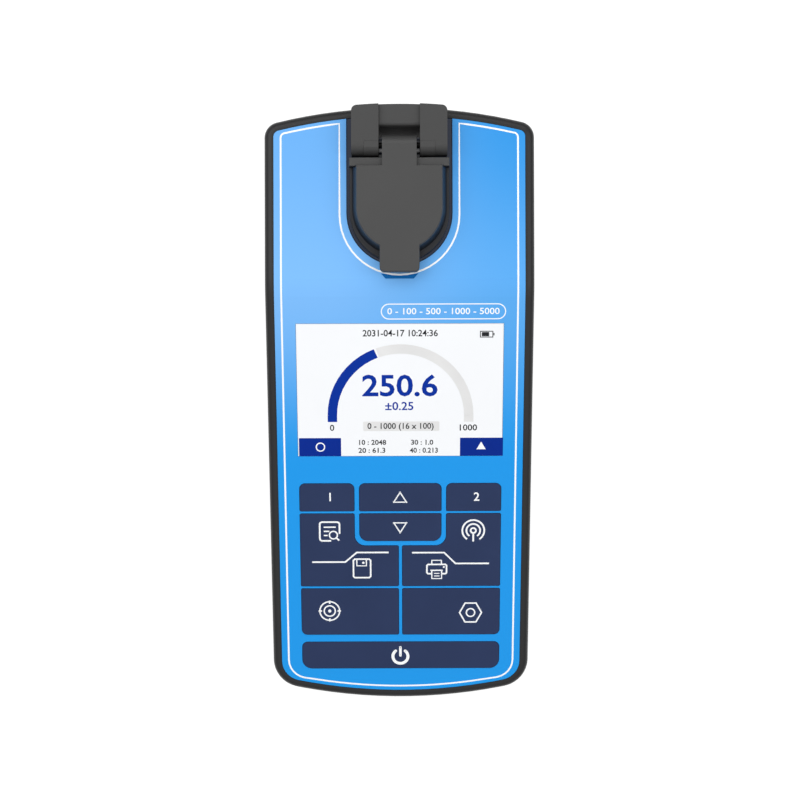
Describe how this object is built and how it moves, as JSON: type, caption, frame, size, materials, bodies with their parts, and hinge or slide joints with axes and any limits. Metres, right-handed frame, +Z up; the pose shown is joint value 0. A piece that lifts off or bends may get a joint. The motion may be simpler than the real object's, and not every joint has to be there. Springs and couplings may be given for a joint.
{
  "type": "water quality analyzer",
  "caption": "Portable wedge-shaped water analyzer with a sloping keypad and display and a flip lid over a vial well.",
  "frame": {"origin": "middle of the footprint, on the surface that the feet stand on", "axes": "+Z up out of the flat head, +Y from the user towards the hinge end, +X to the user's right"},
  "size_m": [0.095, 0.2144, 0.077],
  "materials": {
    "housing_black": "fine moulded grain",
    "collar_gloss": "polished moulding",
    "lid_grey": "fine moulded grain",
    "face_film": "satin printed film",
    "window": "hard-coated pane",
    "key_navy": "satin printed film",
    "switch_plunger": "moulded",
    "switch_black": "moulded",
    "circuit_board": "solder mask",
    "steel": "zinc plated",
    "rubber": "moulded",
    "foam": "closed-cell foam",
    "optics_black": "machined",
    "lens_clear": "polished",
    "lcd": "glass stack",
    "ribbon": "flat cable",
    "cell_wrap": "shrink wrap",
    "contact_nickel": "nickel plated",
    "door_black": "fine moulded grain"
  },
  "bodies": {
    "root": {"upper_housing": "housing_black", "lower_housing": "housing_black", "well_collar": "collar_gloss", "hinge_block": "lid_grey", "friction_bushes": "lid_grey", "face_overlay": "face_film", "display_window": "window", "tact_switches": "switch_black", "board_chips": "switch_black", "board_sockets": "switch_black", "buzzer": "switch_black", "keypad_board": "circuit_board", "main_board": "circuit_board", "charge_board": "circuit_board", "emitter_board": "circuit_board", "detector_board": "circuit_board", "keypad_screws": "steel", "board_screws": "steel", "hinge_pin": "steel", "hinge_screws": "steel", "optics_screws": "steel", "battery_door_screws": "steel", "housing_screws": "steel", "lcd_frame": "steel", "charge_socket": "steel", "feet": "rubber", "housing_seal": "rubber", "battery_pad": "foam", "vial_well": "optics_black", "emitter_lens": "lens_clear", "optical_filter": "lens_clear", "emitter_led": "lens_clear", "photodiode": "lens_clear", "lcd_module": "lcd", "display_ribbon": "ribbon", "keypad_ribbon": "ribbon", "battery_cells": "cell_wrap", "battery_contacts": "contact_nickel", "battery_door": "door_black"},
    "lid": {"lid": "lid_grey", "lid_seal": "foam"},
    "key_place_1": {"key_place_1": "key_navy", "plunger_place_1": "switch_plunger"},
    "key_place_2": {"key_place_2": "key_navy", "plunger_place_2": "switch_plunger"},
    "key_up": {"key_up": "key_navy", "plunger_up": "switch_plunger"},
    "key_down": {"key_down": "key_navy", "plunger_down": "switch_plunger"},
    "key_view": {"key_view": "key_navy", "plunger_view": "switch_plunger"},
    "key_link": {"key_link": "key_navy", "plunger_link": "switch_plunger"},
    "key_calibrate": {"key_calibrate": "key_navy", "plunger_calibrate": "switch_plunger"},
    "key_settings": {"key_settings": "key_navy", "plunger_settings": "switch_plunger"},
    "key_power": {"key_power": "key_navy", "plunger_power": "switch_plunger"}
  },
  "joints": [
    {"name": "lid_hinge", "type": "hinge", "parent": "root", "child": "lid", "pos_m": [0, 0.093, 0.0735], "axis": [-1, 0, 0], "range_deg": [0, 110]},
    {"name": "press_place_1", "type": "slide", "parent": "root", "child": "key_place_1", "axis": [0, -0.2504, 0.9681], "range_m": [-0.00035, 0], "stiffness_N_per_m": 1200, "springref_m": 0.0002},
    {"name": "press_place_2", "type": "slide", "parent": "root", "child": "key_place_2", "axis": [0, -0.2504, 0.9681], "range_m": [-0.00035, 0], "stiffness_N_per_m": 1200, "springref_m": 0.0002},
    {"name": "press_up", "type": "slide", "parent": "root", "child": "key_up", "axis": [0, -0.2504, 0.9681], "range_m": [-0.00035, 0], "stiffness_N_per_m": 1200, "springref_m": 0.0002},
    {"name": "press_down", "type": "slide", "parent": "root", "child": "key_down", "axis": [0, -0.2504, 0.9681], "range_m": [-0.00035, 0], "stiffness_N_per_m": 1200, "springref_m": 0.0002},
    {"name": "press_view", "type": "slide", "parent": "root", "child": "key_view", "axis": [0, -0.2504, 0.9681], "range_m": [-0.00035, 0], "stiffness_N_per_m": 1200, "springref_m": 0.0002},
    {"name": "press_link", "type": "slide", "parent": "root", "child": "key_link", "axis": [0, -0.2504, 0.9681], "range_m": [-0.00035, 0], "stiffness_N_per_m": 1200, "springref_m": 0.0002},
    {"name": "press_calibrate", "type": "slide", "parent": "root", "child": "key_calibrate", "axis": [0, -0.2504, 0.9681], "range_m": [-0.00035, 0], "stiffness_N_per_m": 1200, "springref_m": 0.0002},
    {"name": "press_settings", "type": "slide", "parent": "root", "child": "key_settings", "axis": [0, -0.2504, 0.9681], "range_m": [-0.00035, 0], "stiffness_N_per_m": 1200, "springref_m": 0.0002},
    {"name": "press_power", "type": "slide", "parent": "root", "child": "key_power", "axis": [0, -0.2504, 0.9681], "range_m": [-0.00035, 0], "stiffness_N_per_m": 1200, "springref_m": 0.0002}
  ]
}
